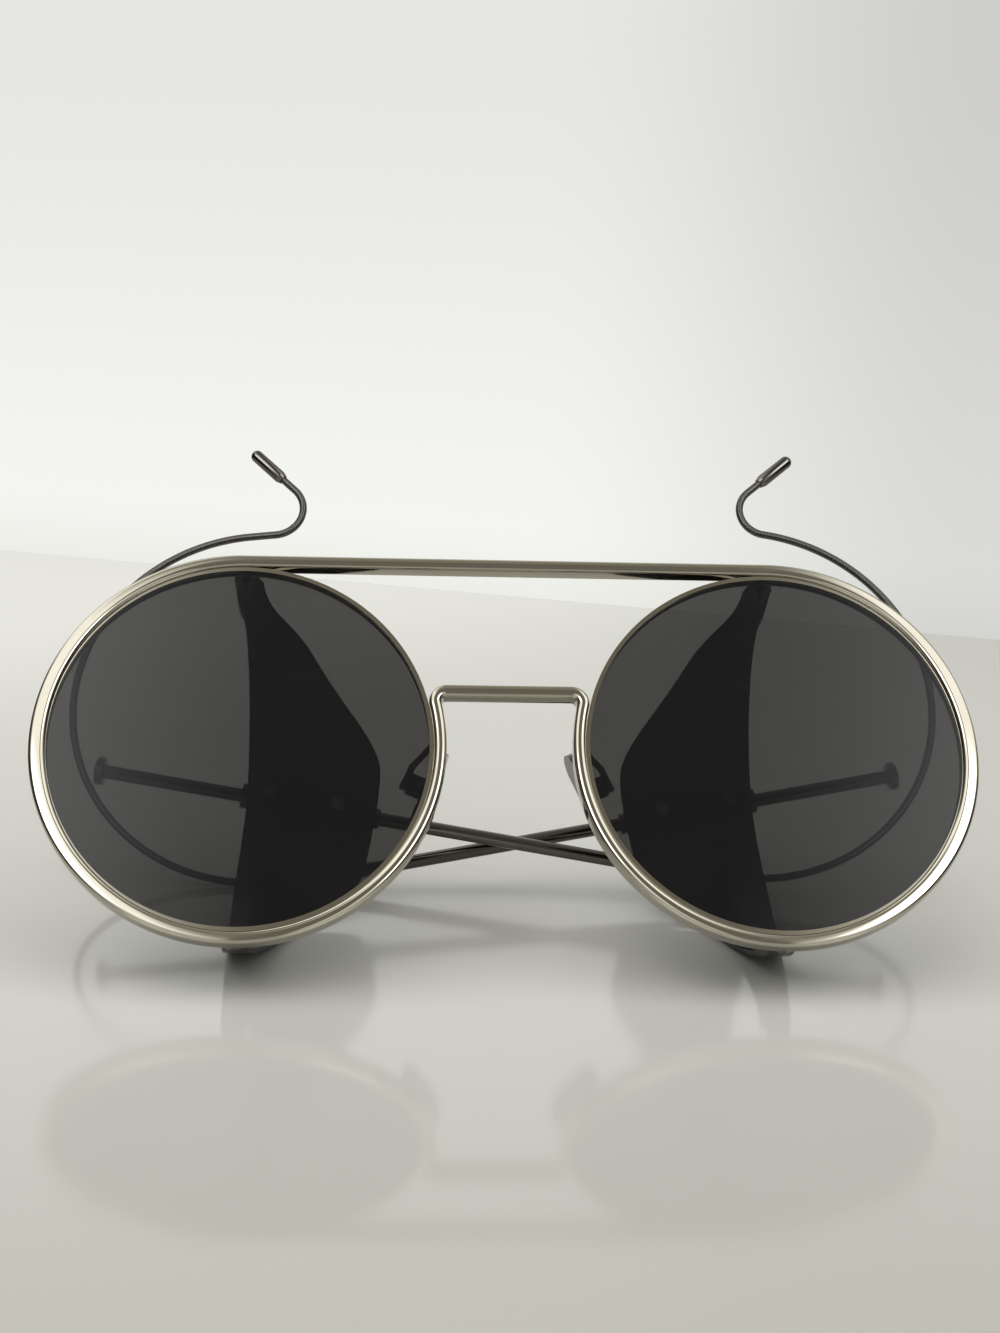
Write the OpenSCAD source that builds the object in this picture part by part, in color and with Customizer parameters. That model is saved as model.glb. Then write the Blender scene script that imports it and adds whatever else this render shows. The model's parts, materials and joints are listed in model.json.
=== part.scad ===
// Round wire sunglasses, folded: flat tinted lenses, folding half-round side
// shields, and straight wire temples with sprung cable ear hooks.
// Millimetres, +Z up. The folded glasses lean back on their side shields.
// X runs to the viewer's right, Y away from the viewer, z = 0 is the table.

/* [Front] */
// Distance between the centres of the two lens rings
eye_spacing = 78.4; // [76:0.1:84]
// Outer radius of the wire round each lens
ring_r = 30; // [29:0.1:31]
// Width of the front wire, seen from the front
wire_w = 1.85; // [1.5:0.05:2.2]
// Depth of the front wire, front to back
wire_d = 3.3; // [2.8:0.05:3.6]
// Rounding of the front wire's edges
wire_round = 0.5; // [0.2:0.05:0.7]
// Height of the bridge's upper edge over the ring centres
bridge_top = 9.5; // [7:0.1:12]
// Bend radius of the bridge corners, on the wire's centre line
bridge_bend = 1.75; // [1.3:0.05:2.5]

/* [Rims and lenses] */
// Thickness of the thin rim wire, seen from the front
rim_w = 0.62; // [0.5:0.02:0.9]
// Depth of the rim wire, front to back
rim_d = 2; // [1.7:0.1:2.2]
// Setback of the rim behind the front face of the wire
rim_back = 0.7; // [0.3:0.1:1]
// Thickness of each flat lens
lens_t = 1.6; // [1.2:0.1:1.8]
// Depth of the groove in the rim that holds the lens
groove_d = 0.3; // [0.15:0.05:0.35]

/* [Shield hinges] */
// Distance of the hinge axis behind the front face
hinge_back = 5.4; // [5.2:0.1:7]
// Width of each hinge lug
lug_w = 3.2; // [2.4:0.1:4]
// Thickness of each hinge lug
lug_t = 0.85; // [0.6:0.05:1]
// Diameter of the hinge pins
pin_d = 1.2; // [0.9:0.05:1.4]
// Length of a hinge pin that stands out inside the shield
pin_out = 0.8; // [0.4:0.1:1.5]

/* [Side shields] */
// Play between the side shield and the lugs above and below it
shield_play = 0.35; // [0.15:0.05:0.6]
// Wall of the side shield
shield_t = 1; // [0.7:0.05:1.3]
// Width of the shield's rounded hinge ends
ear_w = 3.5; // [2.8:0.1:3.6]
// Reach of the shield behind the hinge axis, at its fin
fin_reach = 20.8; // [17:0.1:22]
// Fold of the left shield from straight back, in degrees
fold_left = 90.2; // [86:0.1:90.5]
// Fold of the right shield from straight back, in degrees
fold_right = 86.2; // [84:0.1:86.5]

/* [Sleeves] */
// Outer diameter of the temple sleeve
sleeve_d = 4; // [3.8:0.1:4.4]
// Length of the sleeve
sleeve_len = 20; // [16:0.5:20.5]
// Distance of the sleeve's outer end before the hinge axis
sleeve_start = 1.2; // [0:0.1:3]
// Height of the rod over the ring centres, at the hinge axis
rod_up = 5.05; // [4.6:0.05:6]
// Downward slope of the temples from the front, in degrees
rod_slope = 9.9; // [9.6:0.1:10.4]
// Thickness of the saddle between shield and sleeve
saddle_t = 1; // [0.6:0.1:1.6]
// Width of the saddle
saddle_w = 3; // [2:0.1:3.6]
// Length of the saddle
saddle_len = 16; // [13:0.5:17]
// Diameter of the saddle rivets
rivet_d = 1.2; // [0.8:0.1:1.6]
// Distance between the two rivets
rivet_pitch = 11; // [8:0.5:12]
// Outer diameter of the swivel bush at the sleeve's mouth
bush_d = 3.3; // [3.1:0.1:3.6]
// Length of the swivel bush outside the sleeve
bush_len = 2.3; // [1.5:0.1:3]
// Depth of the bush's spigot inside the sleeve
spigot_len = 2; // [1:0.1:3]

/* [Temples] */
// Diameter of the temple rod
rod_d = 2.2; // [1.9:0.05:2.3]
// Length of the temple rod from its head
rod_len = 89; // [80:0.5:91]
// Distance of the rod's head before the hinge axis, along the rod
head_out = 24.9; // [20:0.1:26]
// Diameter of the flat head that stops the rod at the sleeve
head_d = 4.5; // [4.1:0.1:4.8]
// Thickness of the flat head
head_t = 1.4; // [1:0.1:2]
// Length of the tapered ferrule from rod to cable
ferrule_len = 4; // [3:0.1:6]

/* [Ear cables] */
// Diameter of the wound ear cable
cable_d = 1.35; // [1.1:0.05:1.5]
// Distance from the rod's head to where the cable starts to bend: left, right
lead_start = [96, 94];
// Radius of the gentle bend that leads into the ear loop
lead_r = 60; // [45:1:70]
// Turn of that gentle bend, in degrees
lead_turn = 12; // [8:1:14]
// Radius of the ear loop, on the cable's centre line
loop_r = 31; // [30:0.1:31.4]
// Heading at the end of the ear loop, in degrees from the rod: left, right
loop_turn = [180, 185];
// Straight length behind the loop: left, right
back_len = [0.8, 4.3];
// Radius of the small hook at the end: left, right
hook_r = [4.6, 5];
// Final direction of the cable, in degrees from the rod: left, right
tip_dir = [51, 55];
// Straight length after the hook, up to the rounded tip: left, right
tail_len = [10.4, 10.6];
// Diameter of the capsule on the cable's end
tip_d = 2.15; // [1.8:0.05:2.4]
// Length of the capsule on the cable's end
tip_len = 7.6; // [6:0.1:8.5]

/* [Nose pads] */
// Length of each metal nose pad
pad_len = 13; // [10:0.5:14]
// Width of each nose pad, front to back
pad_w = 5.6; // [4:0.1:6.5]
// Thickness of each nose pad
pad_t = 1; // [0.8:0.1:1.2]
// Distance of the pad's front edge behind the front face
pad_back = 5; // [4.4:0.1:6]
// Half distance between the pads at their middle
pad_out = 11.2; // [10.9:0.1:11.6]
// Height of the pad's middle under the ring centres
pad_down = 4.8; // [4:0.1:6]
// Slant of each pad from upright, in degrees
pad_slant = 24; // [20:0.5:28]
// Diameter of the wire that carries each pad
arm_d = 1; // [0.8:0.05:1.1]
// Outer length of the small box that holds each pad's lug
box_len = 2.6; // [2.4:0.1:3]
// Diameter of the pad screw
pad_pin_d = 0.8; // [0.7:0.05:0.9]

/* [Stance] */
// Backward lean of the front in degrees
lean = 36.7; // [30:0.1:38]

/* [Hidden] */
$fn = 96;

// clearances between pieces
seat_gap = 0.02;
run_gap = 0.05;
rim_gap = 0.03;
eps = 0.01;

eye_x = eye_spacing / 2;
wire_r = ring_r - wire_w / 2;
bridge_z = bridge_top - wire_w / 2;

// the bridge corner's bend circle touches the ring's centre line from outside
bend_z = bridge_z - bridge_bend;
function rounded(x, step) = round(x / step) * step;
bend_x = rounded(eye_x - sqrt(pow(wire_r + bridge_bend, 2) - pow(bend_z, 2)), 0.001);
join_angle = rounded(atan2(bend_z, eye_x - bend_x), 0.01);

rim_r = ring_r - wire_w - rim_gap;
rim_in = rim_r - rim_w;
rim_mid = rim_back + rim_d / 2;
groove_r = rim_in + groove_d;
lens_r = rim_in - rim_gap;

lug_in = ring_r - lug_t;
shield_r = lug_in - shield_play;
rod_out = shield_r + saddle_t + sleeve_d / 2;
pin_in = shield_r - shield_t - pin_out;
bore_d = rod_d + 2 * run_gap;

// outline of the opened shield from the side, [reach, height], as corners
// that are then rounded: up the rear edge and back down the front edge
ear = ear_w / 2;
fin_rear = [
    [ear, -shield_r - 2],
    [ear, -shield_r + 0.1],
    [fin_reach * 0.245, -shield_r * 0.865],
    [fin_reach * 0.5, -shield_r * 0.585],
    [fin_reach * 0.86, -shield_r * 0.42],
    [fin_reach * 0.92, shield_r * -0.18],
    [fin_reach, shield_r * 0.16],
    [fin_reach * 1.0, shield_r * 0.37],
    [fin_reach * 0.56, shield_r * 0.73],
    [fin_reach * 0.4, shield_r * 0.86],
    [ear, shield_r * 0.97],
    [ear, shield_r + 2]
];
fin_front = [
    [-ear, shield_r + 2],
    [-ear, shield_r * 0.95],
    [0, shield_r * 0.9],
    [0, shield_r * 0.16],
    [-ear * 0.55, -shield_r * 0.2],
    [-ear, -shield_r * 0.5],
    [-ear, -shield_r - 2]
];
function cut(p) = [
    for (i = [0:len(p) - 2])
        for (k = [0.25, 0.75])
            if (!(i == 0 && k == 0.25) && !(i == len(p) - 2 && k == 0.75))
                p[i] + (p[i + 1] - p[i]) * k
];
function keep_ends(p) = concat([p[0]], cut(p), [p[len(p) - 1]]);
rear_edge = keep_ends(keep_ends(keep_ends(fin_rear)));
front_edge = keep_ends(keep_ends(keep_ends(fin_front)));

// the folded glasses rest on the undersides of the shields
function swap(p) = [for (q = p) [q[1], q[0]]];
touch_reach = lookup(-shield_r * cos(lean), swap(rear_edge));
function drop(fold) = shield_r * sqrt(pow(sin(fold) * sin(lean), 2) + pow(cos(lean), 2))
    + max(0, cos(fold)) * sin(lean) * touch_reach;
rise = hinge_back * sin(lean) + max(drop(fold_left), drop(fold_right));

// middle of the whole: across, between the outer sides of the two ear loops,
// and from the rings' lowest front edge back to the tip of the right ear cable
middle_x = (loop_side(0, fold_left) - loop_side(1, fold_right)) / 2;
tip_mid = cable_end(1) - tip_d / 2 * way(tip_dir[1]);
tip_at = side_point(fold_right, tip_mid[0], tip_mid[1]);
front_most = wire_round * (cos(lean) - 1) - (ring_r - wire_round) * sin(lean);
rear_most = tip_at[1] * cos(lean) + tip_at[2] * sin(lean) + tip_d / 2;
middle_y = (front_most + rear_most) / 2;

// how far an ear loop reaches across, past the middle of the bridge
function loop_side(i, fold) = max(
    eye_x + ring_r,
    -side_point(fold, loop_mid(i)[0], loop_mid(i)[1])[0] + loop_r * sin(fold) + cable_d / 2
);

// a point of the rod's plane, as along the rod and up from it, in the front's frame
function side_point(fold, along, up) = [
    eye_x - (along * cos(rod_slope) + up * sin(rod_slope)) * sin(fold) + rod_out * cos(fold),
    hinge_back + (along * cos(rod_slope) + up * sin(rod_slope)) * cos(fold) + rod_out * sin(fold),
    rod_up - along * sin(rod_slope) + up * cos(rod_slope)
];

// the cable's path in the rod's plane, measured from the hinge axis
function way(a) = [cos(a), sin(a)];
function lead_mid(i) = [lead_start[i] - head_out, lead_r];
function lead_end(i) = lead_mid(i) + lead_r * way(lead_turn - 90);
function loop_mid(i) = lead_end(i) + loop_r * way(lead_turn + 90);
function loop_end(i) = loop_mid(i) + loop_r * way(loop_turn[i] - 90);
function hook_start(i) = loop_end(i) + back_len[i] * way(loop_turn[i]);
function hook_mid(i) = hook_start(i) + hook_r[i] * way(loop_turn[i] - 90);
function hook_end(i) = hook_mid(i) + hook_r[i] * way(tip_dir[i] + 90);
function cable_end(i) = hook_end(i) + tail_len[i] * way(tip_dir[i]);

metal = "#c9c6c0";
dark_metal = "#8d8a85";
tint = "#4b4b4fcc";

module placed() {
    translate([-middle_x, -middle_y, rise])
        rotate([-lean, 0, 0])
            children();
}

module on_side(side) {
    placed()
        mirror([side == "left" ? 1 : 0, 0, 0])
            children();
}

// the shield as opened straight back: X outward, Y rearward, Z up the hinge axis
module shield_frame(side) {
    on_side(side)
        translate([eye_x, hinge_back, 0])
            rotate([0, 0, side == "left" ? fold_left : fold_right])
                children();
}

// Y along the rod from the hinge axis, Z up from it
module rod_frame(side) {
    shield_frame(side)
        rod_line()
            children();
}

module rod_line() {
    translate([rod_out, 0, rod_up])
        rotate([-rod_slope, 0, 0])
            children();
}

// a bar along Y
module along(from, to, d) {
    translate([0, from, 0])
        rotate([-90, 0, 0])
            cylinder(h = to - from, d = d);
}

module wire_section() {
    translate([-wire_w / 2 + wire_round, -wire_d])
        square([wire_w - 2 * wire_round, wire_d]);
    translate([-wire_w / 2, -wire_d + wire_round])
        square([wire_w, wire_d - 2 * wire_round]);
    for (x = [-1, 1])
        for (y = [wire_round, wire_d - wire_round])
            translate([x * (wire_w / 2 - wire_round), -y])
                circle(r = wire_round, $fn = 32);
}

// the wire along an arc, seen from the front, angles from the right hand
module wire_arc(r, from, to) {
    rotate([90, 0, 0])
        rotate([0, 0, from])
            rotate_extrude(angle = to - from, $fn = 192)
                translate([r, 0])
                    wire_section();
}

module wire_bar(half, height) {
    translate([-half, 0, height])
        rotate([90, 0, 90])
            linear_extrude(2 * half)
                rotate([0, 0, 90])
                    wire_section();
}

// the ring wire runs from the bridge's bend round the bottom to 12 o'clock,
// where it meets the straight bar over the rings
module ring_wire(side) {
    color(metal)
        on_side(side)
            translate([eye_x, 0, 0])
                wire_arc(wire_r, -180 - join_angle, 90);
}

module top_bar() {
    color(metal)
        placed()
            wire_bar(eye_x, wire_r);
}

// the bridge, bent down at each end to run on into the nose side of a ring
module bridge_wire() {
    color(metal)
        placed() {
            wire_bar(bend_x, bridge_z);
            for (m = [0, 1])
                mirror([m, 0, 0])
                    translate([bend_x, 0, bend_z])
                        wire_arc(bridge_bend, -join_angle, 90);
        }
}

module rim(side) {
    color(metal)
        on_side(side)
            translate([eye_x, rim_mid, 0])
                rotate([90, 0, 0])
                    rotate_extrude($fn = 192)
                        polygon([
                            [rim_in, -rim_d / 2],
                            [rim_r, -rim_d / 2],
                            [rim_r, rim_d / 2],
                            [rim_in, rim_d / 2],
                            [rim_in, groove_d + rim_gap],
                            [groove_r, 0],
                            [rim_in, -groove_d - rim_gap]
                        ]);
}

module lens(side) {
    color(tint)
        on_side(side)
            translate([eye_x, rim_mid, 0])
                rotate([90, 0, 0])
                    rotate_extrude($fn = 192)
                        polygon([
                            [0, -lens_t / 2],
                            [lens_r, -lens_t / 2],
                            [lens_r, -groove_d],
                            [groove_r - rim_gap, 0],
                            [lens_r, groove_d],
                            [lens_r, lens_t / 2],
                            [0, lens_t / 2]
                        ]);
}

// a rounded tongue behind the wire, above or below the ring
module lug(side, end) {
    color(metal)
        on_side(side)
            translate([eye_x, 0, end > 0 ? lug_in : -ring_r])
                difference() {
                    union() {
                        translate([-lug_w / 2, wire_d, 0])
                            cube([lug_w, hinge_back - wire_d, lug_t]);
                        translate([0, hinge_back, 0])
                            cylinder(h = lug_t, d = lug_w);
                    }
                    translate([0, hinge_back, -1])
                        cylinder(h = lug_t + 2, d = pin_d + 2 * seat_gap);
                }
}

module hinge_pin(side, end) {
    color(dark_metal)
        on_side(side)
            translate([eye_x, hinge_back, 0])
                mirror([0, 0, end > 0 ? 0 : 1]) {
                    translate([0, 0, pin_in])
                        cylinder(h = ring_r + seat_gap - pin_in, d = pin_d);
                    translate([0, 0, ring_r + seat_gap])
                        cylinder(h = pin_d * 0.3, d = pin_d * 1.6);
                }
}

module shield_wall() {
    rotate([90, 0, 0])
        rotate([0, 0, -90])
            translate([0, 0, -fin_reach - 2])
                rotate_extrude(angle = 180, $fn = 192)
                    translate([shield_r - shield_t, 0])
                        square([shield_t, fin_reach + 2 + ear_w]);
}

module rivet_place(at) {
    reach = at * cos(rod_slope);
    up = rod_up - at * sin(rod_slope);
    translate([0, reach, 0])
        rotate([0, acos(up / shield_r), 0])
            children();
}

rivet_at = [
    -sleeve_start + (sleeve_len - rivet_pitch) / 2,
    -sleeve_start + (sleeve_len + rivet_pitch) / 2
];

module side_shield(side) {
    color(tint)
        shield_frame(side)
            difference() {
                union() {
                    intersection() {
                        shield_wall();
                        rotate([90, 0, 90])
                            linear_extrude(shield_r + 1)
                                polygon(concat(rear_edge, front_edge));
                    }
                    for (m = [0, 1])
                        mirror([0, 0, m])
                            translate([0, 0, shield_r - shield_t])
                                cylinder(h = shield_t - 0.05, d = ear_w - 0.02);
                }
                translate([0, 0, -shield_r - 1])
                    cylinder(h = 2 * shield_r + 2, d = pin_d + 2 * run_gap);
                for (at = rivet_at)
                    rivet_place(at)
                        translate([0, 0, shield_r - shield_t - 1])
                            cylinder(h = shield_t + 2, d = rivet_d + 2 * seat_gap, $fn = 48);
            }
}

module sleeve(side) {
    mouth = sleeve_len - sleeve_start;
    color(metal)
        rod_frame(side)
            difference() {
                along(-sleeve_start, mouth, sleeve_d);
                along(-sleeve_start - 1, mouth + 1, bore_d);
                along(mouth - spigot_len - run_gap, mouth + 1, bush_d - 0.5 + 2 * run_gap);
            }
}

// the saddle is hollowed to the shield's round on one side, the sleeve's on the other
module saddle(side) {
    color(metal)
        shield_frame(side)
            difference() {
                rod_line()
                    translate([
                        shield_r - rod_out - 1,
                        -sleeve_start + (sleeve_len - saddle_len) / 2,
                        -saddle_w / 2
                    ])
                        cube([rod_out - shield_r, saddle_len, saddle_w]);
                rotate([90, 0, 0])
                    cylinder(h = 4 * fin_reach, r = shield_r + seat_gap, center = true, $fn = 192);
                rod_line()
                    along(-sleeve_len, 2 * sleeve_len, sleeve_d + 2 * seat_gap);
                for (at = rivet_at)
                    rivet_place(at)
                        cylinder(h = rod_out - sleeve_d / 2 - 0.3, d = rivet_d + 2 * seat_gap, $fn = 48);
            }
}

module rivet(side, i) {
    inner = shield_r - shield_t;
    color(dark_metal)
        shield_frame(side)
            rivet_place(rivet_at[i]) {
                translate([0, 0, inner - 0.04])
                    cylinder(h = rod_out - sleeve_d / 2 - 0.4 - inner, d = rivet_d, $fn = 48);
                translate([0, 0, inner - 0.04 - rivet_d / 3])
                    cylinder(h = rivet_d / 3, d = rivet_d * 1.8, $fn = 48);
            }
}

module swivel_bush(side) {
    mouth = sleeve_len - sleeve_start;
    color(metal)
        rod_frame(side)
            difference() {
                union() {
                    along(mouth + run_gap, mouth + run_gap + bush_len, bush_d);
                    along(mouth - spigot_len, mouth + 1, bush_d - 0.5);
                }
                along(mouth - spigot_len - 1, mouth + bush_len + 1, bore_d);
            }
}

module temple_rod(side) {
    color(metal)
        rod_frame(side)
            translate([0, -head_out, 0]) {
                along(head_t, rod_len, rod_d);
                rotate([-90, 0, 0])
                    rotate_extrude()
                        polygon([
                            [0, 0],
                            [head_d / 2 - 0.25, 0],
                            [head_d / 2, 0.25],
                            [head_d / 2, head_t - 0.25],
                            [head_d / 2 - 0.25, head_t],
                            [0, head_t]
                        ]);
            }
}

module ferrule(side) {
    i = side == "left" ? 0 : 1;
    color(metal)
        rod_frame(side)
            translate([0, rod_len - head_out + seat_gap, 0])
                rotate([-90, 0, 0])
                    difference() {
                        cylinder(h = ferrule_len, d1 = rod_d, d2 = cable_d + 0.5);
                        translate([0, 0, ferrule_len / 2])
                            cylinder(h = ferrule_len, d = cable_d + 2 * seat_gap);
                    }
}

// stations along an arc, each as [along, up, heading]
function bend(mid, r, from, to, steps) = [
    for (k = [to > from ? (mid[1] == lead_r ? 0 : 1) : 0:steps])
        let (h = from + (to - from) * k / steps)
            let (q = mid + r * way(to > from ? h - 90 : h + 90))
                [q[0], q[1], h]
];

// stations along the whole cable, from ferrule to tip
function cable_route(i) = concat(
    [[rod_len - head_out + 2 * seat_gap + ferrule_len / 2, 0, 0]],
    bend(lead_mid(i), lead_r, 0, lead_turn, lead_steps),
    bend(loop_mid(i), loop_r, lead_turn, loop_turn[i], loop_steps),
    bend(hook_mid(i), hook_r[i], loop_turn[i], tip_dir[i], hook_steps),
    [
        let (q = cable_end(i) - (tip_len - cable_in) * way(tip_dir[i]))
            [q[0], q[1], tip_dir[i]]
    ]
);

// a round tube swept along stations of one plane
module swept_tube(route, d) {
    n = tube_sides;
    last = len(route) - 1;
    points = [
        for (q = route)
            for (k = [0:n - 1])
                let (a = 360 * k / n)
                    [
                        d / 2 * cos(a),
                        q[0] - d / 2 * sin(a) * sin(q[2]),
                        q[1] + d / 2 * sin(a) * cos(q[2])
                    ]
    ];
    sides = [
        for (j = [0:last - 1])
            for (k = [0:n - 1])
                let (m = (k + 1) % n)
                    each [
                        [j * n + k, j * n + m, (j + 1) * n + k],
                        [j * n + m, (j + 1) * n + m, (j + 1) * n + k]
                    ]
    ];
    first_end = [for (k = [n - 1:-1:0]) k];
    last_end = [for (k = [0:n - 1]) last * n + k];
    polyhedron(points = points, faces = concat(sides, [first_end, last_end]));
}

tube_sides = 12;
lead_steps = 4;
loop_steps = 34;
hook_steps = 12;
cable_in = 1.5;

module ear_cable(side) {
    color(dark_metal)
        rod_frame(side)
            swept_tube(cable_route(side == "left" ? 0 : 1), cable_d);
}

module cable_tip(side) {
    i = side == "left" ? 0 : 1;
    at = cable_end(i);
    color(metal)
        rod_frame(side)
            translate([0, at[0], at[1]])
                rotate([tip_dir[i] - 90, 0, 0])
                    translate([0, 0, -tip_len])
                        difference() {
                            union() {
                                cylinder(h = 0.8, d1 = cable_d + 0.3, d2 = tip_d, $fn = 48);
                                translate([0, 0, 0.8])
                                    cylinder(h = tip_len - 0.8 - tip_d / 2, d = tip_d, $fn = 48);
                                translate([0, 0, tip_len - tip_d / 2])
                                    sphere(d = tip_d, $fn = 48);
                            }
                            translate([0, 0, -1])
                                cylinder(h = cable_in + 1 + seat_gap, d = cable_d + 2 * seat_gap, $fn = 48);
                        }
}

// X out from the nose side, Z along the pad's length
module pad_frame(side) {
    on_side(side)
        translate([pad_out, pad_back + pad_w / 2, -pad_down])
            rotate([0, -pad_slant, 0])
                children();
}

// a thin plate with rounded ends, and a lug on its outer face
module nose_pad(side) {
    color(metal)
        pad_frame(side)
            difference() {
                union() {
                    rotate([0, 90, 0]) {
                        for (z = [-1, 1])
                            translate([z * (pad_len - pad_w) / 2, 0, 0])
                                cylinder(h = pad_t, d = pad_w);
                        translate([-(pad_len - pad_w) / 2, -pad_w / 2, 0])
                            cube([pad_len - pad_w, pad_w, pad_t]);
                    }
                    translate([pad_t - eps, -lug_half, -lug_half])
                        cube([lug_reach + eps, 2 * lug_half, 2 * lug_half]);
                }
                translate([pad_t + lug_pin, 0, 0])
                    rotate([90, 0, 0])
                        cylinder(h = pad_w, d = pad_pin_d + 2 * run_gap, center = true, $fn = 48);
            }
}

lug_half = 0.6;
lug_pin = 1.1;
lug_reach = 1.75;
box_gap = 0.15;
box_wall = (box_len - 2 * lug_half) / 2 - box_gap;

// an open box round the lug, closed at its outer end
module pad_box(side) {
    color(metal)
        pad_frame(side)
            translate([pad_t + 0.35, -box_len / 2, -box_len / 2])
                difference() {
                    cube([lug_reach + 0.6, box_len, box_len]);
                    translate([-1, box_wall, -1])
                        cube([lug_reach + 1 - 0.2, box_len - 2 * box_wall, box_len + 2]);
                    translate([lug_pin - 0.35, box_len / 2, box_len / 2])
                        rotate([90, 0, 0])
                            cylinder(h = 2 * box_len, d = pad_pin_d + 2 * seat_gap, center = true, $fn = 48);
                }
}

module pad_screw(side) {
    color(dark_metal)
        pad_frame(side)
            translate([pad_t + lug_pin, 0, 0])
                rotate([90, 0, 0]) {
                    translate([0, 0, -box_len / 2 - 0.02])
                        cylinder(h = box_len + 0.04, d = pad_pin_d, $fn = 48);
                    translate([0, 0, box_len / 2 + 0.02])
                        cylinder(h = 0.3, d = pad_pin_d * 1.6, $fn = 48);
                }
}

// the pad arm leaves the back of the ring wire over the pad, runs back, and
// then down behind the pad to the back of its box
box_out = pad_t + 0.35 + lug_reach + 0.6;
arm_mid = pad_back + pad_w / 2;
function on_pad(x, z) = [
    pad_out + x * cos(pad_slant) - z * sin(pad_slant),
    arm_mid,
    -pad_down + x * sin(pad_slant) + z * cos(pad_slant)
];
arm_off = box_out + arm_d / 2 + seat_gap;
arm_high = pad_len / 2 * cos(pad_slant) - pad_down + 2.4;
arm_x = eye_x - sqrt(pow(wire_r, 2) - pow(arm_high, 2));
arm_path = [
    [arm_x, wire_d, arm_high],
    [arm_x, arm_mid, arm_high],
    on_pad(arm_off, box_len),
    on_pad(arm_off, -box_len * 0.3)
];

module pad_arm(side) {
    color(metal)
        on_side(side)
            for (i = [1:len(arm_path) - 1]) {
                run = arm_path[i] - arm_path[i - 1];
                translate(arm_path[i - 1])
                    rotate([0, acos(run[2] / norm(run)), atan2(run[1], run[0])])
                        cylinder(h = norm(run), d = arm_d, $fn = 48);
                translate(arm_path[i])
                    sphere(d = arm_d * 1.12, $fn = 48);
            }
}

top_bar();
bridge_wire();
ring_wire("left");  // left_ring_wire
ring_wire("right");  // right_ring_wire
rim("left");  // left_rim
rim("right");  // right_rim
lens("left");  // left_lens
lens("right");  // right_lens
lug("left", 1);  // left_upper_lug
lug("left", -1);  // left_lower_lug
lug("right", 1);  // right_upper_lug
lug("right", -1);  // right_lower_lug
hinge_pin("left", 1);  // left_upper_pin
hinge_pin("left", -1);  // left_lower_pin
hinge_pin("right", 1);  // right_upper_pin
hinge_pin("right", -1);  // right_lower_pin
side_shield("left");  // left_side_shield
side_shield("right");  // right_side_shield
sleeve("left");  // left_sleeve
sleeve("right");  // right_sleeve
saddle("left");  // left_saddle
saddle("right");  // right_saddle
rivet("left", 0);  // left_front_rivet
rivet("left", 1);  // left_rear_rivet
rivet("right", 0);  // right_front_rivet
rivet("right", 1);  // right_rear_rivet
swivel_bush("left");  // left_swivel_bush
swivel_bush("right");  // right_swivel_bush
temple_rod("left");  // left_temple_rod
temple_rod("right");  // right_temple_rod
ferrule("left");  // left_ferrule
ferrule("right");  // right_ferrule
ear_cable("left");  // left_ear_cable
ear_cable("right");  // right_ear_cable
cable_tip("left");  // left_cable_tip
cable_tip("right");  // right_cable_tip
pad_arm("left");  // left_pad_arm
pad_arm("right");  // right_pad_arm
pad_box("left");  // left_pad_box
pad_box("right");  // right_pad_box
nose_pad("left");  // left_nose_pad
nose_pad("right");  // right_nose_pad
pad_screw("left");  // left_pad_screw
pad_screw("right");  // right_pad_screw
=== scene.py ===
# Round wire sunglasses with folding side shields, standing folded on a glossy white table.
import json
import math

import bmesh
import bpy
from mathutils import Matrix, Vector


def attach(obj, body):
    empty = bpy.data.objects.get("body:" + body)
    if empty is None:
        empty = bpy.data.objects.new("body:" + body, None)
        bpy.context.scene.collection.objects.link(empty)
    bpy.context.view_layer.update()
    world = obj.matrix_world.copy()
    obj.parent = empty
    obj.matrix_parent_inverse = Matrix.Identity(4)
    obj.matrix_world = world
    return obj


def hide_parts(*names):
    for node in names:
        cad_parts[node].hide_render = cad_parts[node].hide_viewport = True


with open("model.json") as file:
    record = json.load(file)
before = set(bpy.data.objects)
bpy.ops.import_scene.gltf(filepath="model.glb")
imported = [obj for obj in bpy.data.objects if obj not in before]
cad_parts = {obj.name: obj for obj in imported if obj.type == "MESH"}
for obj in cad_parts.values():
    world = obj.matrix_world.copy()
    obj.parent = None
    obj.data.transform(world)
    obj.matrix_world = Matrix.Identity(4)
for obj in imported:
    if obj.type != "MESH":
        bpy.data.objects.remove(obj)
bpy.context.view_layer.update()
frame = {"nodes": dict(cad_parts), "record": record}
nodes = frame["nodes"]
bodyOf = {name: body for body, names in frame["record"]["behaviour"]["bodies"].items() for name in names}
mm = 0.001
weldGap = 0.002 * mm
profileGap = 0.001
# degrees: faces that meet at less than flat become one, and edges that turn by more than the rest stay sharp
corner = {"flat": 1, "cad": 32, "wire": 50, "hinge": 40, "cable": 80}

# how the glasses stand: the front leans back, its middle is off the object's middle
stance = {"lean": 36.7, "middleX": 2.21544, "middleY": 29.5807, "rise": 32.2524}
# the front's wire, in millimetres and degrees: ring centres, section, bridge and its bends
front = {"eyeX": 39.2, "ringR": 30.0, "wireW": 1.85, "wireD": 3.3, "edge": 0.75,
         "bridgeZ": 8.575, "bendX": 9.145, "bendZ": 6.825, "joinAngle": 12.8,
         "widen": 0.62, "slope": 0.25, "spread": 1.2,
         "edgeSteps": 9, "bendSteps": 14, "ringSteps": 260}
# the folded sides: a hinge axis on each ring, and the temple's line outside it
side = {"hingeBack": 5.4, "fold": {"left": 90.2, "right": 86.2}, "rodOut": 31.8, "rodUp": 5.05, "slope": 9.9}


def placed():
    return (Matrix.Scale(mm, 4) @ Matrix.Translation((-stance["middleX"], -stance["middleY"], stance["rise"]))
            @ Matrix.Rotation(math.radians(-stance["lean"]), 4, "X"))


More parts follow.
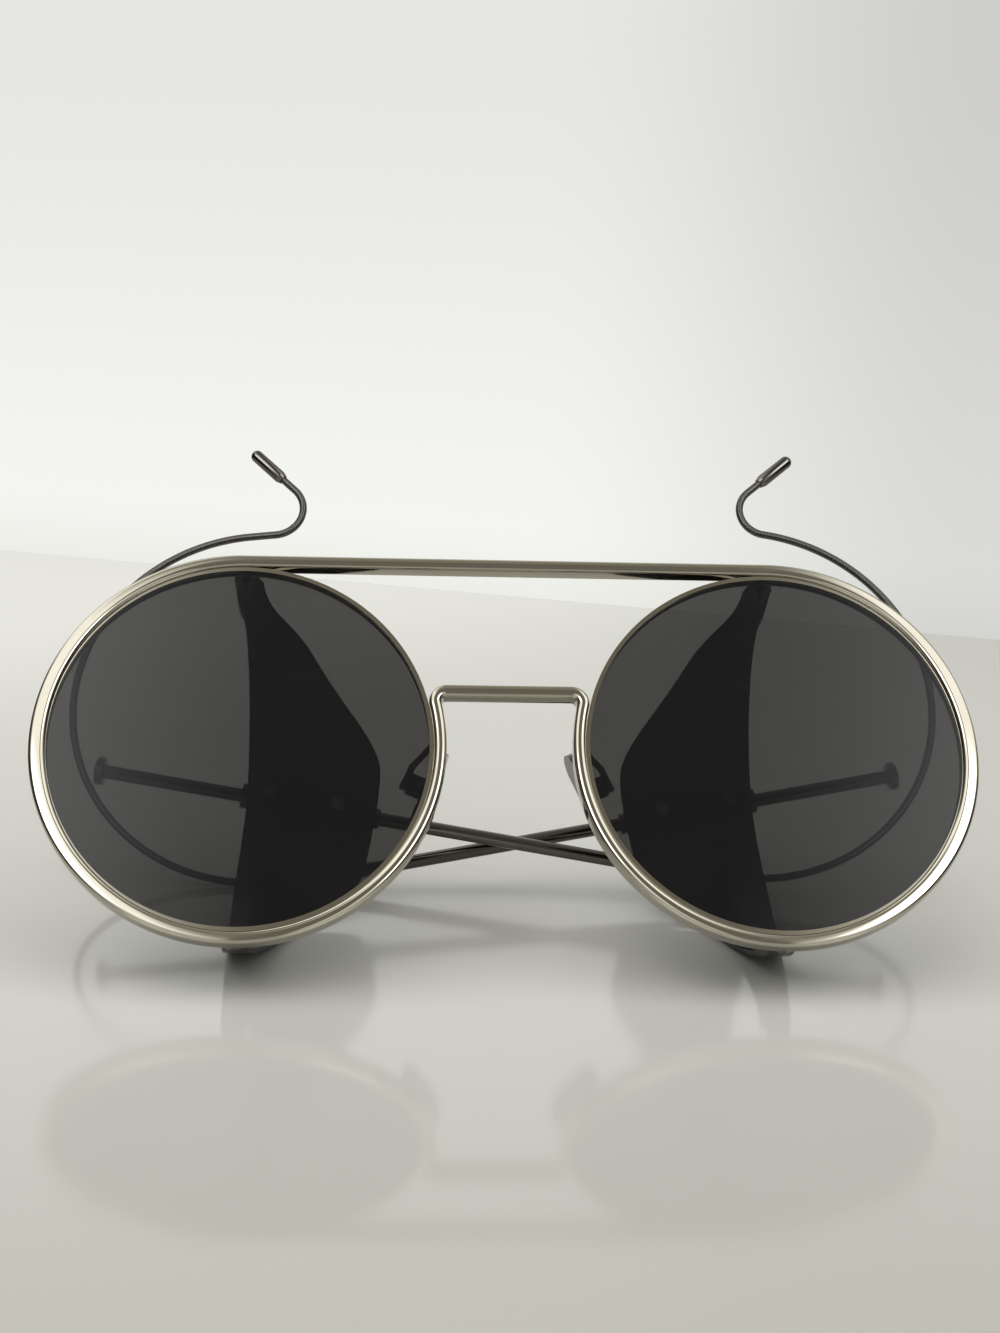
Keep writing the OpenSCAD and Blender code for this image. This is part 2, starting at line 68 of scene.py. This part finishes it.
def onSide(name):
    return placed() @ Matrix.Scale(-1 if name == "left" else 1, 4, (1, 0, 0))


def shieldFrame(name):
    return (onSide(name) @ Matrix.Translation((front["eyeX"], side["hingeBack"], 0))
            @ Matrix.Rotation(math.radians(side["fold"][name]), 4, "Z"))


def rodFrame(name):
    return (shieldFrame(name) @ Matrix.Translation((side["rodOut"], 0, side["rodUp"]))
            @ Matrix.Rotation(math.radians(-side["slope"]), 4, "X"))


def finishPiece(bm, name, body, material, replaced, sharpFrom):
    # edges that turn by more than sharpFrom degrees stay sharp
    bmesh.ops.remove_doubles(bm, verts=bm.verts, dist=weldGap)
    bmesh.ops.recalc_face_normals(bm, faces=bm.faces)
    mesh = bpy.data.meshes.new(name)
    bm.to_mesh(mesh)
    bm.free()
    mesh.polygons.foreach_set("use_smooth", [True] * len(mesh.polygons))
    mesh.set_sharp_from_angle(angle=math.radians(sharpFrom))
    piece = bpy.data.objects.new(name, mesh)
    bpy.context.scene.collection.objects.link(piece)
    mesh.materials.append(material)
    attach(piece, body)
    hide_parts(*replaced)
    return piece


def smoothCopy(node, material):
    # a CAD piece whose shape is already right gets whole faces and smooth shading
    bm = bmesh.new()
    bm.from_mesh(nodes[node].data)
    bmesh.ops.remove_doubles(bm, verts=bm.verts, dist=weldGap)
    bmesh.ops.dissolve_limit(bm, angle_limit=math.radians(corner["flat"]), verts=bm.verts, edges=bm.edges)
    finishPiece(bm, node + "_piece", bodyOf[node], material, [node], corner["cad"])


def turnProfile(bm, profile, place, steps):
    # profile points are (radius, along) in millimetres, turned round the local Z axis
    verts = [bm.verts.new((r, 0, z)) for r, z in profile]
    edges = [bm.edges.new(pair) for pair in zip(verts, verts[1:])]
    bmesh.ops.spin(bm, geom=verts + edges, cent=(0, 0, 0), axis=(0, 0, 1), angle=2 * math.pi,
                   steps=steps, use_merge=True)
    bmesh.ops.remove_doubles(bm, verts=bm.verts, dist=profileGap)
    bmesh.ops.transform(bm, matrix=place, verts=bm.verts)


def hexColour(text):
    parts = [int(text[i:i + 2], 16) / 255 for i in (1, 3, 5)]
    return tuple(p / 12.92 if p <= 0.04045 else ((p + 0.055) / 1.055) ** 2.4 for p in parts) + (1,)


def addNode(tree, kind, settings=None, inputs=None):
    # an input is another node's socket, a hex colour or a plain value
    made = tree.nodes.new(kind)
    for key, value in (settings or {}).items():
        setattr(made, key, value)
    for key, value in (inputs or {}).items():
        if isinstance(value, bpy.types.NodeSocket):
            tree.links.new(value, made.inputs[key])
        else:
            made.inputs[key].default_value = hexColour(value) if isinstance(value, str) else value
    return made


def patternScale(size):
    # spots of about this many millimetres
    return 1 / (size * mm)


def newMaterial(name):
    made = bpy.data.materials.new(name)
    made.use_nodes = True
    tree = made.node_tree
    tree.nodes.clear()
    output = addNode(tree, "ShaderNodeOutputMaterial")
    shader = addNode(tree, "ShaderNodeBsdfPrincipled")
    tree.links.new(shader.outputs[0], output.inputs[0])
    place = addNode(tree, "ShaderNodeTexCoord").outputs["Object"]
    return made, tree, shader, place


colourMix = {"data_type": "RGBA"}
softRamp = {"interpolation_type": "SMOOTHSTEP"}
# most of a noise lies between these values
noiseRange = {"From Min": 0.3, "From Max": 0.7}
# millimetres: the spots that handling leaves on metal, and the most that a bump lifts each surface
handledSpots = 6.25
relief = {"metal": 0.02, "tinted": 0.1}


def finishSurface(tree, shader, cloud, roughness, height, lift, depth):
    # the cloud changes the polish from spot to spot, the height lifts the surface by depth millimetres
    rough = addNode(tree, "ShaderNodeMapRange", inputs={
        "Value": cloud, **noiseRange, "To Min": roughness[0], "To Max": roughness[1]})
    bump = addNode(tree, "ShaderNodeBump", inputs={"Height": height, "Strength": lift, "Distance": depth * mm})
    tree.links.new(rough.outputs[0], shader.inputs["Roughness"])
    tree.links.new(bump.outputs[0], shader.inputs["Normal"])


def metalFinish(name, tone, worn, roughness, grain, lift):
    # handling leaves spots of a few millimetres, and grain is the size of the polishing marks
    made, tree, shader, place = newMaterial(name)
    cloud = addNode(tree, "ShaderNodeTexNoise", inputs={
        "Vector": place, "Scale": patternScale(handledSpots), "Detail": 3})
    fine = addNode(tree, "ShaderNodeTexNoise", inputs={
        "Vector": place, "Scale": patternScale(grain), "Detail": 2})
    colour = addNode(tree, "ShaderNodeMix", colourMix, {0: cloud.outputs["Fac"], 6: tone, 7: worn})
    tree.links.new(colour.outputs[2], shader.inputs["Base Color"])
    finishSurface(tree, shader, cloud.outputs["Fac"], roughness, fine.outputs["Fac"], lift, relief["metal"])
    shader.inputs["Metallic"].default_value = 1
    return made


def tintedFinish(name, tone, alpha, roughness, waves, lift):
    # waves is the size of the slow unevenness that the surface has from its making
    made, tree, shader, place = newMaterial(name)
    cloud = addNode(tree, "ShaderNodeTexNoise", inputs={
        "Vector": place, "Scale": patternScale(waves), "Detail": 2})
    finishSurface(tree, shader, cloud.outputs["Fac"], roughness, cloud.outputs["Fac"], lift, relief["tinted"])
    shader.inputs["Base Color"].default_value = hexColour(tone)
    shader.inputs["IOR"].default_value = 1.5
    shader.inputs["Alpha"].default_value = alpha
    return made


# nickel silver wire, bent, soldered and mirror polished: warm grey with sharp bright and dark lines along it.
# Polishing marks are far finer than 0.4 mm, and are drawn this coarse to show at all.
nickelSilver = metalFinish("polished_nickel_silver", "#bab6a7", "#ada899", (0.04, 0.1), grain=0.4, lift=0.04)
# stainless steel, drawn or pressed and then polished: darker and cooler, nearly as sharp
darkSteel = metalFinish("polished_stainless_steel", "#696661", "#5d5a55", (0.07, 0.13), grain=0.4, lift=0.04)
# stainless steel of rivets, pins and screws, turned and left so: a soft grey shine without clear reflections
plainSteel = metalFinish("plain_steel", "#8f8b86", "#77736e", (0.28, 0.4), grain=0.333, lift=0.15)
# spring steel wire, drawn bright and wound tight: dark, its shine broken up by the turns
woundSteel = metalFinish("wound_spring_steel", "#696763", "#575552", (0.08, 0.14), grain=0.286, lift=0.05)
# lens glass, dyed grey through and polished flat: dark but clear, with clean reflections
lensGlass = tintedFinish("grey_tinted_glass", "#0f0f12", 0.728, (0.02, 0.04), waves=16.7, lift=0.004)
# clear plastic, dyed grey and moulded to a half round: darker than the lens, its shine a little soft
shieldPlastic = tintedFinish("grey_tinted_moulded_plastic", "#09090b", 0.88, (0.06, 0.12),
                             waves=6.67, lift=0.08)
print("materials made")


# the front is one bent wire, bridge to ring to top bar, then mirrored
def wireFront():
    half = bmesh.new()
    w, d, r = front["wireW"], front["wireD"], front["edge"]
    bmesh.ops.create_grid(half, x_segments=1, y_segments=1, size=0.5)
    bmesh.ops.transform(half, matrix=Matrix.Diagonal((w, d, 1, 1)), verts=half.verts)
    bmesh.ops.bevel(half, geom=half.verts[:], offset=r, offset_type="OFFSET", affect="VERTICES",
                    segments=front["edgeSteps"], profile=0.5, material=-1)
    bmesh.ops.delete(half, geom=half.faces[:], context="FACES_ONLY")
    # stand the section across the bridge: its width upright, its depth behind the front face
    bmesh.ops.transform(half, verts=half.verts, matrix=Matrix.Translation((0, d / 2, front["bridgeZ"]))
                        @ Matrix.Rotation(math.radians(90), 4, "Y"))
    end = half.edges[:]

    def run(by):
        made = bmesh.ops.extrude_edge_only(half, edges=end)["geom"]
        bmesh.ops.translate(half, vec=by, verts=[g for g in made if isinstance(g, bmesh.types.BMVert)])
        return [g for g in made if isinstance(g, bmesh.types.BMEdge) and
                all(v in made for v in g.verts)]

    def bend(centre, degrees, steps):
        made = bmesh.ops.spin(half, geom=end, cent=centre, axis=(0, 1, 0), angle=math.radians(degrees),
                              steps=steps)["geom_last"]
        return [g for g in made if isinstance(g, bmesh.types.BMEdge)]

    end = run((front["bendX"], 0, 0))
    end = bend((front["bendX"], 0, front["bendZ"]), 90 + front["joinAngle"], front["bendSteps"])
    end = bend((front["eyeX"], 0, 0), -(270 + front["joinAngle"]), front["ringSteps"])
    # towards the temples the front face widens inwards and slopes back to its outer edge
    for v in half.verts:
        across, height = v.co.x - front["eyeX"], v.co.z
        reach = math.hypot(across, height)
        if across > 0 and v.co.y < d / 2:
            much = (across / reach) ** front["spread"]
            if reach < front["ringR"] - w / 2:
                v.co.x -= across / reach * much * front["widen"]
                v.co.z -= height / reach * much * front["widen"]
            else:
                v.co.y += much * front["slope"]
    run((-front["eyeX"], 0, 0))
    other = half.copy()
    bmesh.ops.transform(other, matrix=Matrix.Scale(-1, 4, (1, 0, 0)), verts=other.verts)
    mesh = bpy.data.meshes.new("half")
    other.to_mesh(mesh)
    other.free()
    half.from_mesh(mesh)
    bpy.data.meshes.remove(mesh)
    bmesh.ops.transform(half, matrix=placed(), verts=half.verts)
    finishPiece(half, "front_wire", "front", nickelSilver,
                ["top_bar", "bridge_wire", "left_ring_wire", "right_ring_wire"], corner["wire"])


wireFront()
print("front wire made")

# pieces that keep their CAD shape: material and slot
finishes = {
    "rim": (nickelSilver, "polished_metal"), "lens": (lensGlass, "lens_tint"),
    "side_shield": (shieldPlastic, "shield_tint"), "sleeve": (darkSteel, "polished_metal"),
    "saddle": (nickelSilver, "polished_metal"), "front_rivet": (plainSteel, "dark_steel"),
    "rear_rivet": (plainSteel, "dark_steel"), "swivel_bush": (darkSteel, "polished_metal"),
    "temple_rod": (darkSteel, "polished_metal"), "ferrule": (darkSteel, "polished_metal"),
    "cable_tip": (darkSteel, "polished_metal"), "pad_arm": (darkSteel, "polished_metal"),
    "pad_box": (darkSteel, "polished_metal"), "nose_pad": (darkSteel, "polished_metal"),
    "pad_screw": (plainSteel, "dark_steel")}
for name in ("left", "right"):
    for part, (material, slotName) in finishes.items():
        smoothCopy(name + "_" + part, material)
print("rims, lenses, shields, sleeves and temples made")

# small hinges behind each ring: a rounded tongue over and under the shield, and a pin through both.
# The pin's dome is given as (part of its radius, height from its end).
hinge = {"lugW": 2.0, "lugT": 0.4, "lugIn": 28.85, "lugEdge": 0.08, "sunk": 0.1,
         "endFlat": 0.02, "endSteps": 10, "edgeSteps": 3, "pinD": 1.1, "pinFrom": 25.9, "pinTo": 29.3, "pinEdge": 0.1,
         "dome": [(0, 0), (0.5, 0.05), (0.87, 0.2), (1, 0.45)], "pinSteps": 32}


def hingePieces(name, end):
    place = (onSide(name) @ Matrix.Translation((front["eyeX"], 0, 0))
             @ Matrix.Scale(1 if end == "upper" else -1, 4, (0, 0, 1)))
    w, sunk = hinge["lugW"], hinge["sunk"]
    start, rear = front["wireD"] - 2 * sunk, side["hingeBack"] + w / 2
    bm = bmesh.new()
    bmesh.ops.create_grid(bm, x_segments=1, y_segments=1, size=0.5)
    bmesh.ops.transform(bm, matrix=Matrix.Translation((0, (start + rear) / 2, hinge["lugIn"]))
                        @ Matrix.Diagonal((w, rear - start, 1, 1)), verts=bm.verts)
    bmesh.ops.bevel(bm, geom=[v for v in bm.verts if v.co.y > side["hingeBack"]], offset=w / 2 - hinge["endFlat"],
                    offset_type="OFFSET", affect="VERTICES", segments=hinge["endSteps"], profile=0.5, material=-1)
    raised = bmesh.ops.extrude_face_region(bm, geom=bm.faces[:])["geom"]
    bmesh.ops.translate(bm, vec=(0, 0, hinge["lugT"]),
                        verts=[g for g in raised if isinstance(g, bmesh.types.BMVert)])
    bmesh.ops.recalc_face_normals(bm, faces=bm.faces)
    outline = [e for e in bm.edges if len(e.link_faces) == 2 and e.calc_face_angle() > 1]
    bmesh.ops.bevel(bm, geom=outline, offset=hinge["lugEdge"], offset_type="OFFSET", affect="EDGES",
                    segments=hinge["edgeSteps"], profile=0.5, material=-1)
    bmesh.ops.transform(bm, matrix=place, verts=bm.verts)
    finishPiece(bm, f"{name}_{end}_tongue", "front", nickelSilver,
                [f"{name}_{end}_lug"], corner["hinge"])
    r, low, high, edge = hinge["pinD"] / 2, hinge["pinFrom"], hinge["pinTo"], hinge["pinEdge"]
    dome = [(r * part, low + up) for part, up in hinge["dome"]]
    bm = bmesh.new()
    turnProfile(bm, dome + [(r, high - edge), (r - edge, high), (0, high)],
                place @ Matrix.Translation((0, side["hingeBack"], 0)), hinge["pinSteps"])
    finishPiece(bm, f"{name}_{end}_hinge_pin", "front", plainSteel,
                [f"{name}_{end}_pin"], corner["hinge"])


for name in ("left", "right"):
    for end in ("upper", "lower"):
        hingePieces(name, end)
print("hinges made")

# ear cables: a steel wire wound tight over a core, from the ferrule round the loop to the tip
cable = {"d": 1.3, "wire": 0.24, "coreD": 1.27, "start": 66.14, "leadR": 60, "leadTurn": 12, "loopR": 31,
         "left": {"lead": 71.1, "loopTurn": 180, "back": 0.8, "hookR": 4.6, "tip": 51, "tail": 10.4},
         "right": {"lead": 69.1, "loopTurn": 185, "back": 4.3, "hookR": 5, "tip": 55, "tail": 10.6},
         "tailCut": 6.1, "turnSteps": 12, "coreEvery": 8}


def cableRoute(name):
    # (length, radius) runs along and up the rod's plane; a positive radius turns up
    own = cable[name]
    runs = [(own["lead"] - cable["start"], 0),
            (math.radians(cable["leadTurn"]) * cable["leadR"], cable["leadR"]),
            (math.radians(own["loopTurn"] - cable["leadTurn"]) * cable["loopR"], cable["loopR"]),
            (own["back"], 0),
            (math.radians(own["loopTurn"] - own["tip"]) * own["hookR"], -own["hookR"]),
            (own["tail"] - cable["tailCut"], 0)]

    def at(s):
        x, y, heading = cable["start"], 0.0, 0.0
        for length, radius in runs:
            part = min(max(s, 0), length)
            if radius:
                turned = heading + part / radius
                x += radius * (math.sin(turned) - math.sin(heading))
                y -= radius * (math.cos(turned) - math.cos(heading))
                heading = turned
            else:
                x += part * math.cos(heading)
                y += part * math.sin(heading)
            s -= length
            if s <= 0:
                break
        return x, y, heading

    return at, sum(length for length, radius in runs)


def tubeAlong(points, diameter):
    line = bpy.data.curves.new("line", "CURVE")
    line.dimensions = "3D"
    spline = line.splines.new("POLY")
    spline.points.add(len(points) - 1)
    for spot, p in zip(spline.points, points):
        spot.co = (*p, 1)
    line.bevel_depth = diameter / 2
    line.bevel_resolution = 1
    line.use_fill_caps = True
    holder = bpy.data.objects.new("line", line)
    bpy.context.scene.collection.objects.link(holder)
    bpy.context.view_layer.update()
    mesh = bpy.data.meshes.new_from_object(holder.evaluated_get(bpy.context.evaluated_depsgraph_get()))
    bpy.data.objects.remove(holder)
    bpy.data.curves.remove(line)
    return mesh


def earCable(name):
    at, total = cableRoute(name)
    winding, core = [], []
    count = int(total / cable["wire"] * cable["turnSteps"])
    out = (cable["d"] - cable["wire"]) / 2
    for i in range(count + 1):
        s = total * i / count
        x, y, heading = at(s)
        a = 2 * math.pi * i / cable["turnSteps"]
        winding.append((out * math.cos(a), x - out * math.sin(a) * math.sin(heading),
                        y + out * math.sin(a) * math.cos(heading)))
        if i % cable["coreEvery"] == 0:
            core.append((0, x, y))
    bm = bmesh.new()
    for points, diameter in ((winding, cable["wire"]), (core, cable["coreD"])):
        mesh = tubeAlong(points, diameter)
        bm.from_mesh(mesh)
        bpy.data.meshes.remove(mesh)
    bmesh.ops.transform(bm, matrix=rodFrame(name), verts=bm.verts)
    piece = finishPiece(bm, name + "_wound_cable", name + "_temple", woundSteel,
                        [name + "_ear_cable"], corner["cable"])
    print(name, "cable", len(piece.data.polygons), "faces")


for name in ("left", "right"):
    earCable(name)
print("ear cables wound")

# the table lies flat, the wall crosses behind it, in metres
room = {"tableHalf": 3, "wallFrom": (-0.6, 0.4714), "wallTo": (0.45, 0.0761), "wallTop": 0.6}
# table tones: near, middle and far are painted light and shade, darker in front and lighter towards the wall; beyond
# is only what the metal mirrors
table = {"near": "#adaba4", "middle": "#bfbeb8", "far": "#d6d5d0", "beyond": "#2e2b27",
         "roughness": (0.08, 0.13), "unevenness": 83.3, "wallSlope": -0.5,
         "nearFade": (-0.15, -0.04), "farFade": (0.1, 0.27), "beyondFade": (0.25, 0.4)}
# wall tones are painted light: the wall glows, brightest a little above the table, with painted shade at its foot,
# towards its top and to the right
wall = {"low": "#ecede7", "middle": "#f5f6f1", "high": "#e6e7e2", "left": "#ffffff", "right": "#e4e4e4",
        "lowFade": (-0.004, 0.02), "highFade": (0.0, 0.15), "rightFade": (0.02, 0.13)}


def stagePlane(name, corners, material):
    bm = bmesh.new()
    bm.faces.new([bm.verts.new(c) for c in corners])
    mesh = bpy.data.meshes.new(name)
    bm.to_mesh(mesh)
    bm.free()
    made = bpy.data.objects.new(name, mesh)
    bpy.context.scene.collection.objects.link(made)
    mesh.materials.append(material)


def tableFinishAndPaintedLight():
    # white lacquer, sprayed and polished: nearly a mirror at a low angle, blurred by its slow unevenness. Its tone is
    # painted light and shade: darker towards the front, lighter towards the wall.
    made, tree, shader, place = newMaterial("white_lacquered_table_painted_light")
    cloud = addNode(tree, "ShaderNodeTexNoise", inputs={
        "Vector": place, "Scale": patternScale(table["unevenness"]), "Detail": 2})
    polish = addNode(tree, "ShaderNodeMapRange", softRamp, {
        "Value": cloud.outputs["Fac"], **noiseRange,
        "To Min": table["roughness"][0], "To Max": table["roughness"][1]})
    tree.links.new(polish.outputs[0], shader.inputs["Roughness"])
    spot = addNode(tree, "ShaderNodeSeparateXYZ", inputs={0: place})
    towardsWall = addNode(tree, "ShaderNodeMath", {"operation": "MULTIPLY_ADD"}, {
        0: spot.outputs[0], 1: table["wallSlope"], 2: spot.outputs[1]})
    reach = addNode(tree, "ShaderNodeVectorMath", {"operation": "LENGTH"}, {0: place})
    fades = {}
    for name, value in (("near", spot.outputs[1]), ("far", towardsWall.outputs[0]),
                        ("beyond", reach.outputs["Value"])):
        ramp = addNode(tree, "ShaderNodeMapRange", softRamp, {
            "Value": value, "From Min": table[name + "Fade"][0], "From Max": table[name + "Fade"][1]})
        fades[name] = ramp.outputs[0]
    # painted shade towards the front and painted light towards the wall, standing in for the room's uneven light
    tone = addNode(tree, "ShaderNodeMix", colourMix, {0: fades["near"], 6: table["near"], 7: table["middle"]})
    tone = addNode(tree, "ShaderNodeMix", colourMix, {0: fades["far"], 6: tone.outputs[2], 7: table["far"]})
    # the metal mirrors a dim room past the part of the table that is in view
    mirrored = addNode(tree, "ShaderNodeLightPath").outputs["Is Glossy Ray"]
    beyond = addNode(tree, "ShaderNodeMath", {"operation": "MULTIPLY"}, {0: fades["beyond"], 1: mirrored})
    tone = addNode(tree, "ShaderNodeMix", colourMix, {
        0: beyond.outputs[0], 6: tone.outputs[2], 7: table["beyond"]})
    tree.links.new(tone.outputs[2], shader.inputs["Base Color"])
    shader.inputs["IOR"].default_value = 1.5
    return made


def wallPaintedLight():
    # matt white paint, rolled, with no shine. It glows instead of being lit, and its tone is painted light: brightest
    # a little above the table, painted shade along its foot, dimmer higher up and to the right.
    # Seen from behind, the wall lets the view through.
    made, tree, shader, place = newMaterial("glowing_wall_painted_light")
    tree.nodes.remove(shader)
    spot = addNode(tree, "ShaderNodeSeparateXYZ", inputs={0: place})
    fades = {}
    for name, axis in (("low", 2), ("high", 2), ("right", 0)):
        ramp = addNode(tree, "ShaderNodeMapRange", softRamp, {
            "Value": spot.outputs[axis], "From Min": wall[name + "Fade"][0],
            "From Max": wall[name + "Fade"][1]})
        fades[name] = ramp.outputs[0]
    # painted light up the wall: painted shade at its foot, brightest just above, dimmer higher up, and dimmer to the
    # right
    upward = addNode(tree, "ShaderNodeMix", colourMix, {0: fades["high"], 6: wall["middle"], 7: wall["high"]})
    upward = addNode(tree, "ShaderNodeMix", colourMix, {0: fades["low"], 6: wall["low"], 7: upward.outputs[2]})
    sideways = addNode(tree, "ShaderNodeMix", colourMix, {0: fades["right"], 6: wall["left"], 7: wall["right"]})
    tone = addNode(tree, "ShaderNodeMix", {"data_type": "RGBA", "blend_type": "MULTIPLY"}, {
        0: 1.0, 6: upward.outputs[2], 7: sideways.outputs[2]})
    # the wall glows with this painted light instead of being lit
    glow = addNode(tree, "ShaderNodeEmission", inputs={"Color": tone.outputs[2], "Strength": 1.0})
    clear = addNode(tree, "ShaderNodeBsdfTransparent")
    back = addNode(tree, "ShaderNodeNewGeometry").outputs["Backfacing"]
    seen = addNode(tree, "ShaderNodeMixShader", inputs={0: back, 1: glow.outputs[0], 2: clear.outputs[0]})
    output = next(n for n in tree.nodes if n.type == "OUTPUT_MATERIAL")
    tree.links.new(seen.outputs[0], output.inputs[0])
    return made


half = room["tableHalf"]
stagePlane("table", [(-half, -half, 0), (half, -half, 0), (half, half, 0), (-half, half, 0)], tableFinishAndPaintedLight())
start, stop = room["wallFrom"], room["wallTo"]
stagePlane("wall", [(*start, 0), (*stop, 0), (*stop, room["wallTop"]), (*start, room["wallTop"])], wallPaintedLight())

# what the metal mirrors, by direction: its x, y and z parts run from -1 to 1, aside is the distance to
# either side of the room's middle and facing says how near a window is. The strength doubles the tones.
light = {"low": "#2c2b28", "high": "#625f58", "overhead": "#7b7870", "bright": "#ffffff", "backdrop": "#aaaaa6",
         "strength": 2.0, "middle": 0.07, "window": (0.51, -0.62, 0.6), "windowExtra": 4.0,
         "steps": {"sideStart": ("aside", 0.1, 0.27), "sideEnd": ("aside", 0.86, 0.66),
                   "sideHeight": ("z", 0.35, 0.55), "front": ("y", -0.6, -0.85),
                   "frontHeight": ("z", 0.6, 0.35), "top": ("z", 0.97, 0.9), "upper": ("z", 0.3, 0.6),
                   "ceiling": ("z", 0.86, 0.95), "pane": ("facing", 0.965, 0.985)},
         "hidden": {"From Min": 0.11, "From Max": 0.2, "To Min": 0.1, "To Max": 0.45},
         "lamp": {"at": (-0.25, 0.1, 1.3), "size": 1.5, "watts": 6.2}}


def roomLight():
    world = bpy.data.worlds.new("room")
    bpy.context.scene.world = world
    world.use_nodes = True
    tree = world.node_tree
    tree.nodes.clear()
    way = addNode(tree, "ShaderNodeTexCoord").outputs["Generated"]
    x, y, z = addNode(tree, "ShaderNodeSeparateXYZ", inputs={0: way}).outputs
    shifted = addNode(tree, "ShaderNodeMath", {"operation": "SUBTRACT"}, {0: x, 1: light["middle"]})
    aside = addNode(tree, "ShaderNodeMath", {"operation": "ABSOLUTE"}, {0: shifted.outputs[0]}).outputs[0]
    # two windows high behind the camera, to its left and right, draw a bright streak along polished steel
    sideless = addNode(tree, "ShaderNodeMath", {"operation": "ABSOLUTE"}, {0: x})
    paired = addNode(tree, "ShaderNodeCombineXYZ", inputs={0: sideless.outputs[0], 1: y, 2: z})
    facing = addNode(tree, "ShaderNodeVectorMath", {"operation": "DOT_PRODUCT"}, {
        0: paired.outputs[0], 1: light["window"]})
    along = {"aside": aside, "y": y, "z": z, "facing": facing.outputs["Value"]}
    parts = {}
    for name, (measure, start, end) in light["steps"].items():
        ramp = addNode(tree, "ShaderNodeMapRange", softRamp, {
            "Value": along[measure], "From Min": start, "From Max": end})
        parts[name] = ramp.outputs[0]
    # whoever takes the picture hides the middle of the lit room in front
    hidden = addNode(tree, "ShaderNodeMapRange", softRamp, {"Value": aside, **light["hidden"]})
    parts["frontShare"] = hidden.outputs[0]
    rays = addNode(tree, "ShaderNodeLightPath")
    parts["glossy"] = rays.outputs["Is Glossy Ray"]
    for name, operation, first, second in (
            ("sideBand", "MULTIPLY", "sideStart", "sideHeight"),
            ("highSides", "MULTIPLY", "sideBand", "sideEnd"),
            ("frontBand", "MULTIPLY", "front", "frontHeight"),
            ("lowFront", "MULTIPLY", "frontBand", "frontShare"),
            ("lit", "MAXIMUM", "highSides", "lowFront"),
            ("bright", "MULTIPLY", "lit", "top"),
            ("window", "MULTIPLY", "pane", "glossy")):
        made = addNode(tree, "ShaderNodeMath", {"operation": operation}, {0: parts[first], 1: parts[second]})
        parts[name] = made.outputs[0]
    tone = addNode(tree, "ShaderNodeMix", colourMix, {0: parts["upper"], 6: light["low"], 7: light["high"]})
    for name, over in (("ceiling", "overhead"), ("bright", "bright"), ("window", "bright")):
        tone = addNode(tree, "ShaderNodeMix", colourMix, {0: parts[name], 6: tone.outputs[2], 7: light[over]})
    # the camera sees a plain pale backdrop
    tone = addNode(tree, "ShaderNodeMix", colourMix, {
        0: rays.outputs["Is Camera Ray"], 6: tone.outputs[2], 7: light["backdrop"]})
    strength = addNode(tree, "ShaderNodeMath", {"operation": "MULTIPLY_ADD"}, {
        0: parts["window"], 1: light["windowExtra"], 2: light["strength"]})
    glow = addNode(tree, "ShaderNodeBackground", inputs={
        "Color": tone.outputs[2], "Strength": strength.outputs[0]})
    output = addNode(tree, "ShaderNodeOutputWorld")
    tree.links.new(glow.outputs[0], output.inputs[0])


def ceilingLamp():
    own = light["lamp"]
    lamp = bpy.data.lights.new("ceiling", "AREA")
    lamp.size = own["size"]
    lamp.energy = own["watts"]
    holder = bpy.data.objects.new("ceiling", lamp)
    bpy.context.scene.collection.objects.link(holder)
    holder.location = own["at"]
    holder.rotation_euler = (-Vector(own["at"])).to_track_quat("-Z", "Y").to_euler()
    # the metal mirrors the room, not this lamp
    holder.visible_glossy = False


roomLight()
ceilingLamp()
print("table, wall and light made")

# the photograph's viewpoint, in millimetres
cameraSet = {"at": (-25.8, -337.6, 116.3), "ahead": (0.0684, 0.9711, -0.2285), "roll": 1.78, "lens": 79.47,
             "clipStart": 0.01}
camera = bpy.data.objects.new("camera", bpy.data.cameras.new("camera"))
bpy.context.scene.collection.objects.link(camera)
ahead = Vector(cameraSet["ahead"]).normalized()
right = ahead.cross(Vector((0, 0, 1))).normalized()
up = right.cross(ahead)
turn = math.radians(cameraSet["roll"])
across = right * math.cos(turn) + up * math.sin(turn)
above = up * math.cos(turn) - right * math.sin(turn)
camera.matrix_world = (Matrix.Translation(Vector(cameraSet["at"]) * mm)
                       @ Matrix((across, above, -ahead)).transposed().to_4x4())
camera.data.lens = cameraSet["lens"]
camera.data.sensor_fit = "HORIZONTAL"
camera.data.clip_start = cameraSet["clipStart"]
bpy.context.scene.camera = camera
bpy.context.scene.view_settings.view_transform = "Standard"

print("done")
